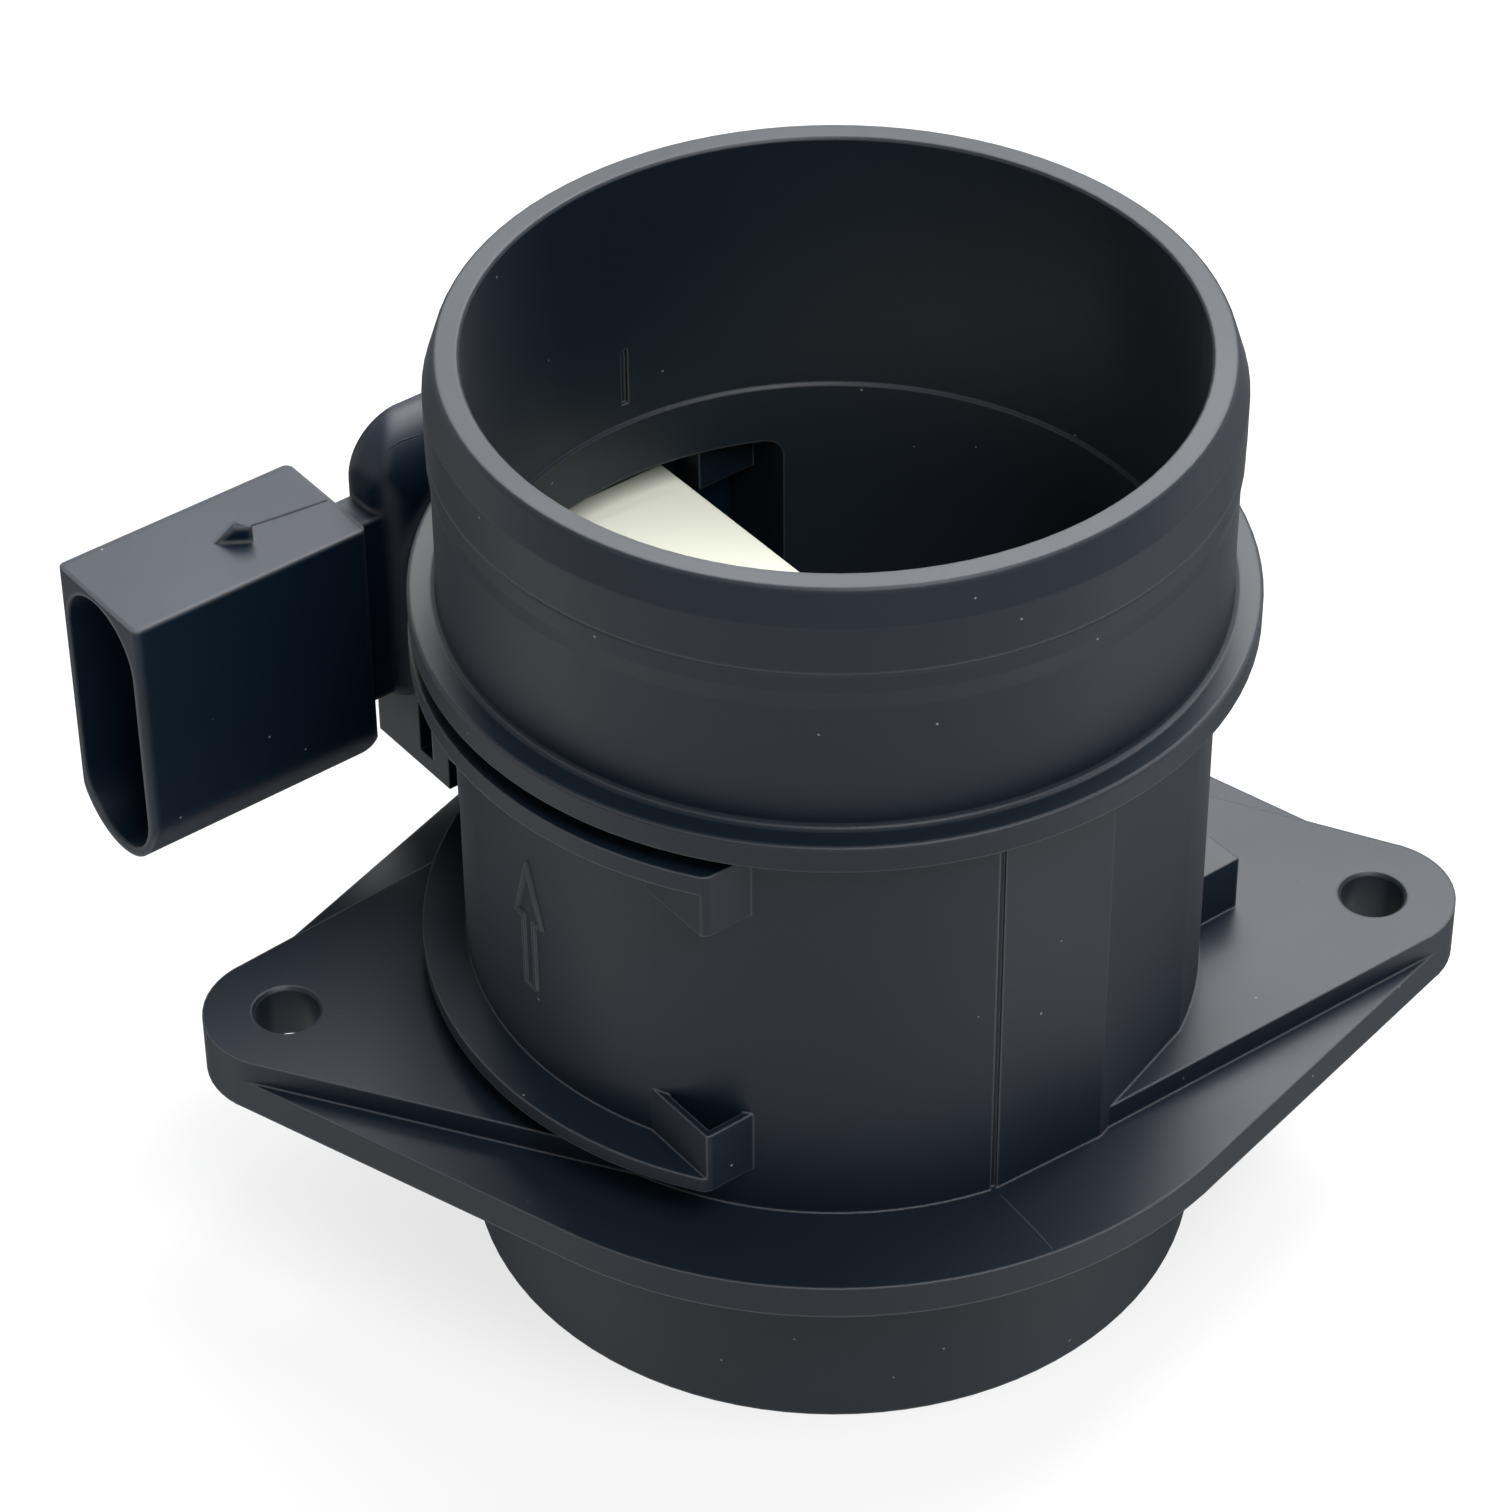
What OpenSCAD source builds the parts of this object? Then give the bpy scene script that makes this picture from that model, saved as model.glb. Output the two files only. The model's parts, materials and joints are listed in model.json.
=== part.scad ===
// Mass airflow sensor: a moulded duct with a two-ear flange below and a hose spigot on top,
// and a measuring module on its rear left side whose connector points left.
// Z is the duct's axis and the direction of the air flow, X runs along the two ears.
// The origin is on the axis at the lower spigot's open end. All sizes are in millimetres.

/* [Duct] */
// Overall height of the duct
duct_h = 110.95; // [106:0.05:120]
// Radius of the bore in the middle of the duct
bore_r = 37.05; // [35.5:0.05:37.3]
// Wall thickness of the middle tube
tube_wall = 2.58; // [2.3:0.02:2.7]
// Outside radius of the lower spigot
spigot_r = 40.15; // [39.8:0.05:41]
// Length of the lower spigot below the flange
spigot_h = 25.4; // [20:0.1:26]
// How much wider the hose spigot's bore is than the middle bore, on radius
top_bore_step = 0.3; // [0.1:0.05:0.5]
// Height of the step between the two bores
bore_step_z = 79.7; // [78.5:0.1:82]

/* [Hose spigot] */
// Outside radius of the hose spigot's neck, where the clamp sits
neck_r = 40.85; // [40.5:0.05:41]
// Outside radius of the hose bead
bead_r = 41.2; // [41.1:0.05:41.8]
// Outside radius of the rim at the top edge
rim_r = 40; // [39.2:0.05:40.3]
// Height of the bead's straight part
bead_h = 5.3; // [4:0.1:6]
// Height of the lead-in between the bead and the rim
lead_in_h = 3.9; // [3:0.1:5]
// Height of the low band under the bead
band_h = 2.4; // [1.8:0.1:3]
// Height of the taper from the band to the neck
band_taper_h = 2.1; // [1.6:0.1:3]
// How far the band stands out from the neck
band_rise = 0.3; // [0.15:0.05:0.35]
// Radius of the collar ring
ring_r = 43.9; // [43:0.05:45]
// Height of the collar ring's underside
ring_z = 79.3; // [79:0.1:80]
// Thickness of the collar ring
ring_t = 3.16; // [2.5:0.02:4]

/* [Flange] */
// Radius of the flange plate
plate_r = 50.6; // [49:0.1:52]
// Thickness of the flange plate
plate_t = 4.06; // [3.5:0.02:4.5]
// Thickness of the raised pad on the plate
pad_t = 2.83; // [2:0.01:3]
// Distance between the two ear holes
ear_spacing = 119.1; // [116:0.1:122]
// How far the ear holes' line lies in front of the axis
ear_offset = 2.2; // [1.5:0.1:3]
// Radius of each ear's end
ear_r = 9.1; // [8:0.1:10]
// Diameter of the ear holes
ear_hole_d = 7; // [6:0.1:8]
// Width of the bevel round each ear hole
ear_bevel = 0.35; // [0.2:0.05:0.6]

/* [Ribs] */
// Outside radius of the upper rib
rib_r = 44; // [43:0.05:44.3]
// Gap between the upper rib and the collar ring
rib_gap = 2.2; // [1.8:0.1:3]
// Thickness of the upper rib
rib_t = 2.3; // [1.8:0.1:2.6]
// Outside radius of the lower ledge
ledge_r = 44.35; // [43.5:0.05:45]
// Height of the lower ledge's underside
ledge_z = 35; // [34:0.1:35.4]
// Thickness of the lower ledge
ledge_t = 1.8; // [1.5:0.05:2.2]
// Distance of the ribs' end plane behind the axis, away from the module
rib_end = 25.35; // [24:0.05:25.6]
// Distance of the pockets' outer wall from the module's middle plane
pocket_w = 36.3; // [35.8:0.05:36.35]
// Where that wall runs into the tube, behind the axis
pocket_u = 14.6; // [14:0.1:16]
// Wall thickness of the pockets at the ribs' ends
pocket_t = 0.8; // [0.7:0.05:1.2]
// Rounding of the ribs' and pockets' outer corner
corner_r = 1.8; // [1.2:0.1:2.4]
// Height of the pocket walls
pocket_h = 5.6; // [4:0.1:6.2]
// Height of the small solid block on the right
block_h = 6.9; // [5:0.1:8]
// Length of the small block along the tube's side
block_l = 15; // [12:0.5:18]
// Distance of the block's near end behind the axis
block_u = 8; // [6:0.5:10]
// Distance of the block's outer face from the module's middle plane
block_w = 37.9; // [37:0.1:39]

/* [Flats] */
// Distance of the first front flat from the axis
flat_r_1 = 39.02; // [38.95:0.01:39.1]
// Distance of the second front flat from the axis
flat_r_2 = 38.8; // [38.7:0.01:38.85]
// Direction of the first flat
flat_az_1 = -64.2; // [-64.6:0.1:-64]
// Direction of the second flat
flat_az_2 = -42.9; // [-43.2:0.1:-42.7]
// Width of the groove beside the first flat
groove_w = 0.65; // [0.4:0.05:0.9]
// Height of the raised line of the flow arrow
arrow_rise = 0.3; // [0.2:0.05:0.5]
// Width of the line that draws the flow arrow
arrow_line = 0.45; // [0.35:0.05:0.55]
// Height of the flow arrow's foot
arrow_z = 47.3; // [45:0.1:50]
// Length of the flow arrow
arrow_l = 17.1; // [14:0.1:20]
// Length of the flow arrow's head
arrow_head_l = 8; // [6:0.1:9]
// Half width of the flow arrow's head
arrow_head_half = 2.4; // [2:0.1:3]
// Half width of the flow arrow's shaft
arrow_shaft_half = 1.1; // [0.9:0.05:1.3]
// Direction of the flow arrow, seen from above
arrow_az = -151; // [-154:0.5:-148]

/* [Module seat] */
// Direction of the measuring module, seen from above
module_az = 119; // [117:0.5:121]
// Half width of the seat
seat_half = 21; // [20.6:0.1:21.6]
// Wall of the seat around the window
seat_wall = 2.6; // [2.4:0.05:2.8]
// Distance of the seat's face from the axis
seat_u = 42; // [41.7:0.05:42.4]
// Height of the shelf's underside
shelf_z = 36.5; // [36.1:0.1:37.5]
// Reach of the shelf from the axis
shelf_u = 55.8; // [55:0.1:57]
// Height of the window's lower edge
window_z = 48.8; // [48.5:0.05:49]
// Height of the window's upper edge
window_top = 72.5; // [72.3:0.05:73]
// Radius of the window's corners
window_corner = 2; // [1:0.1:3]
// Distance of the upper side slot from the axis
slot_high_u = 45.2; // [44.8:0.1:45.6]
// Width of the upper side slot
slot_high_w = 2.4; // [2:0.1:2.6]
// Distance of the lower side slot from the axis
slot_low_u = 40.5; // [40.2:0.1:41]
// Width of the lower side slot
slot_low_w = 1.6; // [1.4:0.1:2]
// Depth of both side slots
slot_depth = 2.3; // [1.5:0.1:2.4]
// Wall of the cored shelf
shelf_wall = 2.2; // [1.8:0.1:2.4]
// Thickness of the ribs that cross the shelf's core
shelf_rib_t = 1.6; // [1.4:0.1:2]

/* [Module] */
// Height of the module's underside
module_z = 46.2; // [45.9:0.05:46.4]
// Height of the module's crown
module_top = 80; // [79.5:0.1:82]
// Half width of the module
module_half = 23.4; // [23.2:0.1:24.4]
// Distance of the module's inner face from the axis
module_u = 48; // [47.9:0.05:48.4]
// Thickness of the module outside its inner face
module_t = 7; // [6.8:0.1:8.5]
// Corner radius of the module's crown
crown_r = 7; // [6.5:0.1:8]
// Rounding of the crown towards the duct
crown_front_r = 8; // [7.8:0.1:9.5]
// Rounding of the module's upright edges towards the duct
slab_corner_r = 3.6; // [2.5:0.1:3.8]
// Thickness of the module's floor against the seat
floor_t = 1.5; // [1.3:0.05:1.8]
// Wall thickness of the module
module_wall = 1.6; // [1.4:0.05:1.8]
// Thickness of the module's lid
lid_t = 1.4; // [1.2:0.05:1.6]

/* [Connector] */
// Width of the connector's shroud
shroud_w = 15.2; // [15:0.1:16.5]
// Distance of the shroud's open end from the module's middle
shroud_reach = 55.5; // [52:0.5:60]
// Distance of the shroud's rear face from the module's middle
shroud_rear = 25.9; // [25.7:0.1:27]
// Height of the shroud's flat top
shroud_top = 71.5; // [70.5:0.1:71.5]
// Height of the centre of the shroud's round underside
shroud_low = 45; // [44:0.1:46]
// Wall thickness of the shroud
shroud_wall = 1.05; // [0.95:0.05:1.3]
// Rounding of the shroud's upright edges
shroud_corner_r = 0.9; // [0.6:0.1:1]
// Depth of the shroud's cavity
shroud_depth = 24.5; // [22:0.1:25]
// Height of the latch wedge on the shroud
latch_h = 2; // [1.2:0.1:2.4]
// Distance of the latch's tip from the module's middle
latch_tip = 40.2; // [38:0.1:42]
// Half width of the latch at its rear
latch_half = 2.3; // [1.8:0.1:2.6]
// Length of the latch
latch_l = 3.9; // [3:0.1:5]
// Distance between the blades
blade_pitch = 3.5; // [3.2:0.1:3.6]
// Width of each blade
blade_w = 1.5; // [1.2:0.1:1.8]
// Thickness of each blade
blade_t = 0.8; // [0.6:0.05:0.9]
// Length of each blade in the shroud's cavity
blade_len = 18; // [15:0.5:20]
// Width of the neck between the module and the shroud
neck_w = 5.1; // [4.6:0.1:5.6]
// Distance of that neck's middle from the shroud's middle
neck_shift = 3.6; // [3.4:0.1:3.8]

/* [Insert] */
// Half width of the measuring insert
insert_half = 9; // [8.6:0.1:9.3]
// Height of the insert's underside
insert_z = 50.6; // [50.2:0.1:51]
// Height of the insert's flat top
insert_top = 67.6; // [67:0.1:67.9]
// How far the insert's tip reaches past the duct's axis
insert_tip = 6; // [3:0.5:10]
// Thickness of the insert's lid
insert_lid_t = 1.4; // [1.2:0.05:1.6]
// Thickness of the insert's flange
insert_flange_t = 1.5; // [1.3:0.05:1.7]
// How far the insert's flange stands out on each side
insert_flange_w = 1.6; // [1.4:0.05:1.7]
// Half length of the notch for the temperature bead
notch_half = 5; // [4:0.1:6]
// Height of that notch
notch_h = 3.2; // [2.8:0.1:3.6]
// Distance of the notch's middle from the axis
notch_mid = 21; // [19:0.1:22]
// Lower half width of the air channel, on the side without the lid
channel_half = 4.6; // [4:0.1:5]
// Thickness of the ceramic carrier
carrier_t = 0.8; // [0.6:0.05:1]
// Height of the ceramic carrier
carrier_h = 7; // [6:0.1:7.4]
// Radius of the temperature bead
bead_sensor_r = 1.1; // [0.8:0.05:1.3]
// Radius of the bead's leads
lead_r = 0.3; // [0.2:0.05:0.4]

/* [Electronics] */
// Thickness of the base plate
base_t = 1.2; // [1:0.05:1.5]
// Thickness of the board
board_t = 0.8; // [0.6:0.05:1]
// Distance of the board's edge from the window's side
board_gap = 8; // [7.8:0.1:8.4]
// Distance of the screws from the window's side, above
screw_gap_high = 4.9; // [4.7:0.1:5]
// Distance of the screws from the window's side, below
screw_gap_low = 2.9; // [2.7:0.1:3]
// Diameter of the module screws
screw_d = 2.5; // [2.2:0.1:2.8]
// Diameter of the screws' heads
screw_head_d = 5; // [4.4:0.1:5.2]
// Height of the screws' heads
screw_head_h = 1.9; // [1.5:0.1:2.1]

/* [Flow grid] */
// Height of the honeycomb
grid_h = 5; // [4:0.1:8]
// Distance between the honeycomb's cells
cell_pitch = 8.9; // [8:0.1:11]
// Wall between the cells
cell_wall = 0.8; // [0.7:0.05:1.2]
// Rim of the honeycomb inside its seat
grid_rim = 1; // [0.8:0.1:1.2]
// Thickness of the snap ring
snap_t = 1.2; // [1:0.05:1.5]
// Width of the snap ring
snap_w = 2; // [1.8:0.1:2.4]
// Gap between the snap ring's ends
snap_gap = 8; // [5:0.5:12]

/* [Fits] */
// Clearance between pieces that slot into each other
fit = 0.1; // [0.05:0.01:0.15]

/* [Hidden] */
$fn = 96;
e = 0.5;                       // overlap of solids that are joined
hair = 0.03;                   // keeps straight sides from only touching a circle
tube_r = bore_r + tube_wall;
top_bore_r = bore_r + top_bore_step;
plate_z = spigot_h;
pad_z = plate_z + plate_t;
pad_top = pad_z + pad_t;
bead_top = duct_h - lead_in_h;
bead_z = bead_top - bead_h;
band_z = bead_z - band_h;
band_low = band_z - band_taper_h;
ring_top = ring_z + ring_t;
rib_top = ring_z - rib_gap;
rib_z = rib_top - rib_t;
in_tube_w = 29;                // a start inside the tube's wall
in_duct_u = 30;                // a start inside the duct's wall
pad_r = flat_r_2 - 0.1;
collar_top = window_top + seat_wall + 0.4;
window_half = seat_half - seat_wall;
post_l = 4.4;
post_u = seat_u - post_l;
post_half = 2.6;
board_half = window_half - board_gap;
plug_r = 12;
plug_in_half = window_half + 0.2;
plug_in_z = module_z + 2;
plug_in_top = collar_top - 2.4;
seal_w = 1;
seal_t = 0.9;
seal_half = plug_in_half + 1.3;
seal_z = plug_in_z - 1;
seal_top = plug_in_top + 1.1;
seal_r = plug_r - 1.1;
floor_u = seat_u + floor_t;
flange_u = floor_u + insert_flange_t;
plate_u = flange_u;
board_u = plate_u + base_t;
back_u = module_u + module_t;
lid_ledge = 0.6;               // ledge that the lid rests on
slab_in_u = module_u + module_wall;
slab_in_half = module_half - module_wall;
slab_in_z = module_z + module_wall;
slab_in_top = module_top - 5;
slab_in_r = crown_r - 2;
plug_in_r = plug_r - 2.4;
lid_u = back_u - lid_t;
lid_half = slab_in_half + lid_ledge;
lid_z = slab_in_z - lid_ledge;
lid_top = slab_in_top + lid_ledge;
lid_r = slab_in_r + lid_ledge;
shroud_u = module_u - 0.1;
shroud_mid = shroud_u + shroud_w/2;
shroud_in_r = shroud_w/2 - shroud_wall;
shroud_apex = shroud_top - shroud_wall/2;
cavity_end = shroud_reach - shroud_depth;
blade_mid_z = (shroud_low + shroud_apex - shroud_in_r)/2;
tail_u = board_u + board_t + 4.5;
tail_w = board_half - 2.2;
tail_rise = 2.4;
blade_root = 2;                // depth of the blades' jog behind the cavity
neck_u = shroud_mid - neck_shift;
rear_r = 5;                    // curve of the shroud's rear underside
carrier_z = (insert_z + insert_top)/2;
duct_near = 3 - insert_tip;
duct_far = 9;
lid_stop = 5;                  // the insert's lid ends this far before the module's floor
insert_wall = 1.6;
chip_l = 3;                    // length of the film chip
chip_t = 0.4;
chip_u = duct_near + 2*chip_l;
bead_sensor_z = insert_z + 1.5;
lead_in_bead = 0.2;
socket_d = 1.9;                // hexagonal socket of the module's screws
socket_h = 1.2;
grid_z = 2;
grid_in_r = bore_r - 0.85;
grid_seat_r = bore_r + 0.85;
snap_r = bore_r + 1.4;
screw_high = [window_half - screw_gap_high, window_top - 4];
screw_low = [window_half - screw_gap_low, window_z + 2.6];
screw_spots = [screw_high, [-screw_high[0], screw_high[1]], screw_low, [-screw_low[0], screw_low[1]]];
over = 1;                      // how far a cut runs past the face that it opens
edge = 0.15;                   // small broken edge of the moulding
ring_edge = 0.35;              // broken upper edge of the collar ring
foot_r = 0.6;                  // fillet between the collar ring and the neck
rim_edge = 0.25;               // broken edges of the rim
index_w = 0.8;                 // index slot on the inner wall
index_z = 82;
index_l = 7;
ear_wall = 1;                  // the plate's own hole stays this far outside the bore

// The module's frame: x points away from the duct, y towards the connector's mouth
module at_module() rotate([0, 0, module_az]) children();

// Box between two corners
module box(x0, x1, y0, y1, z0, z1) translate([x0, y0, z0]) cube([x1 - x0, y1 - y0, z1 - z0]);

// Outline in the y-z plane taken along x, and outline in the x-z plane taken along y
module along_x(x0, x1) translate([x0, 0, 0]) rotate([90, 0, 90]) linear_extrude(x1 - x0) children();
module along_y(y0, y1) translate([0, y1, 0]) rotate([90, 0, 0]) linear_extrude(y1 - y0) children();

// Outline with a square foot and round shoulders
module arch(half, z0, z1, r) {
  translate([-half, z0]) square([2*half, z1 - r - z0]);
  translate([r - half, z0]) square([2*(half - r), z1 - z0]);
  for (s = [-1, 1]) translate([s*(half - r), z1 - r]) circle(r);
}

// Rectangle with four round corners
module slot_outline(half, z0, z1, r) {
  translate([-half, z0 + r]) square([2*half, z1 - z0 - 2*r]);
  translate([r - half, z0]) square([2*(half - r), z1 - z0]);
  for (s = [-1, 1], z = [z0 + r, z1 - r]) translate([s*(half - r), z]) circle(r);
}

// Outline round the duct's circle and the two ears. The straight sides run a hair inside the
// tangents, so that they cross both circles instead of touching them
module ear_outline(r) {
  circle(r);
  for (s = [-1, 1]) {
    c = [s*ear_spacing/2, -ear_offset];
    a = atan2(c[1], c[0]);
    t = acos((r - ear_r)/norm(c));
    p = [cos(a + t), sin(a + t)];
    q = [cos(a - t), sin(a - t)];
    translate(c) circle(ear_r);
    polygon([(r - hair)*p, c + (ear_r - hair)*p, c + (ear_r - hair)*q, (r - hair)*q]);
  }
}

// Duct wall as one revolved profile, from the lower spigot up to the rim
module duct_wall() {
  rotate_extrude($fn = 180) polygon([
    [snap_r, 0], [spigot_r, 0], [spigot_r, plate_z + e],
    [tube_r, plate_z + e], [tube_r, ring_z], [ring_r - edge, ring_z], [ring_r, ring_z + edge],
    [ring_r, ring_top - ring_edge], [ring_r - 0.3*ring_edge, ring_top - 0.3*ring_edge],
    [ring_r - ring_edge, ring_top], [neck_r + foot_r, ring_top],
    [neck_r + 0.3*foot_r, ring_top + 0.3*foot_r], [neck_r, ring_top + foot_r],
    [neck_r, band_low], [neck_r + band_rise, band_z], [neck_r + band_rise, bead_z - 3*edge],
    [neck_r + edge, bead_z - edge], [bead_r, bead_z],
    [bead_r, bead_top], [rim_r + edge, duct_h - 2*rim_edge], [rim_r, duct_h - 0.8*rim_edge],
    [rim_r - rim_edge, duct_h], [top_bore_r + rim_edge, duct_h], [top_bore_r, duct_h - rim_edge],
    [top_bore_r, bore_step_z], [bore_r, bore_step_z - (top_bore_r - bore_r)],
    [bore_r, grid_z + grid_h], [grid_seat_r, grid_z + grid_h], [grid_seat_r, grid_z],
    [snap_r, grid_z]]);
}

// Flange plate with the raised pad and the two ear holes
module flange() {
  difference() {
    union() {
      translate([0, 0, plate_z]) linear_extrude(plate_t) ear_outline(plate_r);
      translate([0, 0, pad_z - 0.1]) linear_extrude(pad_t + 0.1) ear_outline(pad_r);
    }
    translate([0, 0, plate_z - over]) cylinder(r = bore_r + ear_wall, h = plate_t + pad_t + 2*over);
    for (s = [-1, 1]) translate([s*ear_spacing/2, -ear_offset, 0]) {
      translate([0, 0, plate_z - over]) cylinder(d = ear_hole_d, h = plate_t + pad_t + 2*over);
      for (z = [plate_z, pad_top]) translate([0, 0, z - ear_bevel])
        cylinder(r1 = ear_hole_d/2 + (z > pad_z ? 0 : 2*ear_bevel),
                 r2 = ear_hole_d/2 + (z > pad_z ? 2*ear_bevel : 0), h = 2*ear_bevel);
    }
  }
}

// Sector of a disc on the connector's side, from the seat round to the ribs' end plane
module rib(r, z, t) {
  intersection() {
    difference() {
      translate([0, 0, z]) cylinder(r = r, h = t);
      translate([0, 0, z - over]) cylinder(r = tube_r - e, h = t + 2*over);
    }
    box(-rib_end, seat_u, seat_half - over, r + over, z - over, z + t + over);
  }
}

// What rounds the outer corner between a rib's rim and the end plane, to be cut away
module outer_corner(r) {
  c = [corner_r - rib_end, sqrt(pow(r - corner_r, 2) - pow(rib_end - corner_r, 2))];
  far = 3*corner_r;
  linear_extrude(duct_h) difference() {
    polygon([c, c - [far, 0], c + [-far, far], c + far*c/norm(c)]);
    translate(c) circle(corner_r + hair);
  }
}

// Two thin walls in one outline that close off a three-cornered pocket against the tube
module pocket(z0, z1) {
  translate([0, 0, z0]) linear_extrude(z1 - z0)
    polygon([[-rib_end, in_tube_w], [-rib_end, pocket_w], [-pocket_u, pocket_w],
             [-pocket_u, pocket_w - pocket_t], [pocket_t - rib_end, pocket_w - pocket_t],
             [pocket_t - rib_end, in_tube_w]]);
}

module ribs() {
  difference() {
    union() {
      rib(rib_r, rib_z, rib_t);
      pocket(rib_z - pocket_h + 0.3, rib_top - hair);
    }
    outer_corner(rib_r);
    translate([0, 0, ledge_z]) cylinder(r = tube_r - e, h = ring_z - ledge_z);
  }
  difference() {
    union() {
      rib(ledge_r, ledge_z, ledge_t);
      pocket(ledge_z + hair, ledge_z + ledge_t + pocket_h + 0.3);
    }
    outer_corner(ledge_r);
    translate([0, 0, ledge_z - over]) cylinder(r = tube_r - e, h = ring_z - ledge_z);
  }
  // solid block at the foot of the tube on the other side
  difference() {
    box(-block_u - block_l, -block_u, -block_w, -in_tube_w, pad_top - e, pad_top + block_h);
    translate([0, 0, pad_top - over]) cylinder(r = tube_r - e, h = block_h + 2*over);
  }
}

// The two flats and the groove that are cut into the tube's front
module flat_cuts() {
  for (f = [[flat_az_1, flat_r_1], [flat_az_2, flat_r_2]]) rotate([0, 0, f[0]])
    box(f[1], tube_r + over, -tube_r/4, tube_r/4, pad_z - e, ring_z - edge);
  rotate([0, 0, flat_az_1 - acos(flat_r_1/tube_r)])
    box(tube_r - 3*edge, tube_r + over, -0.75*groove_w, 0.25*groove_w, pad_z - e, ring_z - 3*edge);
}

// Raised outline of an arrow that points along the flow
module arrow_outline(inset) {
  tip = arrow_z + arrow_l - 3.4*inset;
  neck = arrow_z + arrow_l - arrow_head_l + inset;
  head = arrow_head_half - 1.3*inset;
  shaft = arrow_shaft_half - inset;
  polygon([[0, tip], [-head, neck], [-shaft, neck], [-shaft, arrow_z + inset],
           [shaft, arrow_z + inset], [shaft, neck], [head, neck]]);
}

module flow_arrow() {
  intersection() {
    difference() {
      cylinder(r = tube_r + arrow_rise, h = duct_h);
      translate([0, 0, -over]) cylinder(r = tube_r - e, h = duct_h + 2*over);
    }
    rotate([0, 0, arrow_az]) along_x(tube_r - 2*over, tube_r + over) difference() {
      arrow_outline(0);
      arrow_outline(arrow_line);
    }
  }
}

// Square collar round the window and the cored shelf that the module stands on
module seat() {
  at_module() difference() {
    union() {
      box(in_duct_u, seat_u, -seat_half, seat_half, module_z - e, collar_top);
      box(in_duct_u, shelf_u, -seat_half, seat_half, shelf_z, module_z);
    }
    translate([0, 0, shelf_z - over]) cylinder(r = bore_r + ear_wall/2, h = collar_top - shelf_z + 2*over);
    // the shelf is cored from below between its ribs
    difference() {
      box(in_duct_u, shelf_u - shelf_wall, shelf_wall - seat_half, seat_half - shelf_wall,
          shelf_z - over, module_z - shelf_wall);
      translate([0, 0, shelf_z - 2*over]) cylinder(r = tube_r + 0.8, h = module_z - shelf_z);
      for (y = [-1, 1]) translate([0, y*seat_half*0.31, 0])
        box(in_duct_u, shelf_u, -shelf_rib_t/2, shelf_rib_t/2, shelf_z - 2*over, module_z);
    }
    for (y = [-seat_half - over, seat_half - slot_depth]) {
      box(slot_high_u, slot_high_u + slot_high_w, y, y + slot_depth + over, shelf_z + shelf_wall,
          module_z - 0.7);
      box(slot_low_u, slot_low_u + slot_low_w, y, y + slot_depth + over, shelf_z - over,
          shelf_z + 2*shelf_wall);
    }
  }
}

// Corner posts that take the module's screws
module posts() {
  at_module() for (p = screw_spots) {
    s = sign(p[0]);
    high = p[1] > (window_z + window_top)/2;
    difference() {
      box(post_u, seat_u, s > 0 ? p[0] - post_half : -window_half - e,
          s > 0 ? window_half + e : p[0] + post_half,
          high ? p[1] - post_half : window_z - e, high ? window_top + e : p[1] + post_half);
      translate([post_u + 0.3, p[0], p[1]]) rotate([0, 90, 0]) cylinder(d = screw_d + 0.1, h = post_l + over);
    }
  }
}

module housing() {
  color([0.13, 0.135, 0.145]) {
    difference() {
      union() {
        difference() { duct_wall(); flat_cuts(); }
        flange();
        at_module() ribs();
        seat();
        flow_arrow();
      }
      at_module() along_x(bore_r/2, seat_u + over)
        slot_outline(window_half, window_z, window_top, window_corner);
      // short index slot on the inner wall above the window
      rotate([0, 0, module_az - 1.5])
        box(top_bore_r - over, top_bore_r + e, -index_w/2, index_w/2, index_z, index_z + index_l);
    }
    posts();
  }
}

module flow_grid() {
  color([0.1, 0.1, 0.11]) translate([0, 0, grid_z]) {
    linear_extrude(grid_h) difference() {
      circle(grid_seat_r - fit/2);
      intersection() {
        circle(grid_in_r - grid_rim);
        for (i = [-5:5], j = [-5:5]) {
          x = cell_pitch*(i + j/2);
          y = cell_pitch*j*sqrt(3)/2;
          if (norm([x, y]) < grid_in_r - 1.5*grid_rim)
            translate([x, y]) rotate(30) circle(r = (cell_pitch - cell_wall)/sqrt(3), $fn = 6);
        }
      }
    }
  }
}

module grid_ring() {
  color([0.62, 0.62, 0.6]) translate([0, 0, grid_z - snap_t]) rotate([0, 0, 40]) difference() {
    cylinder(r = snap_r - fit/2, h = snap_t);
    translate([0, 0, -over]) cylinder(r = snap_r - snap_w, h = snap_t + 2*over);
    box(snap_r - 2*snap_w, snap_r + over, -snap_gap/2, snap_gap/2, -over, snap_t + over);
  }
}

// Outline of the seal in its groove, grown on both sides by a margin
module seal_ring(grow) {
  difference() {
    arch(seal_half + grow, seal_z - grow, seal_top + grow, seal_r + grow);
    arch(seal_half - seal_w - grow, seal_z + seal_w + grow, seal_top - seal_w - grow, seal_r - seal_w - grow);
  }
}

module module_seal() {
  color([0.35, 0.14, 0.1]) at_module() along_x(seat_u, seat_u + seal_t) seal_ring(0);
}

// Round shoulder of the module towards the duct, as an outline in the x-z plane
module crown_side() {
  intersection() {
    translate([module_u, module_z]) square([module_t, module_top - module_z]);
    union() {
      translate([module_u, module_z]) square([module_t + 5, module_top - crown_front_r - module_z]);
      translate([module_u + crown_front_r, module_top - crown_front_r]) circle(crown_front_r);
    }
  }
}

// Rectangle seen from above with four round corners
module round_rect(x0, x1, y0, y1, r) {
  translate([x0, y0 + r]) square([x1 - x0, y1 - y0 - 2*r]);
  translate([x0 + r, y0]) square([x1 - x0 - 2*r, y1 - y0]);
  for (x = [x0 + r, x1 - r], y = [y0 + r, y1 - r]) translate([x, y]) circle(r);
}

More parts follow.
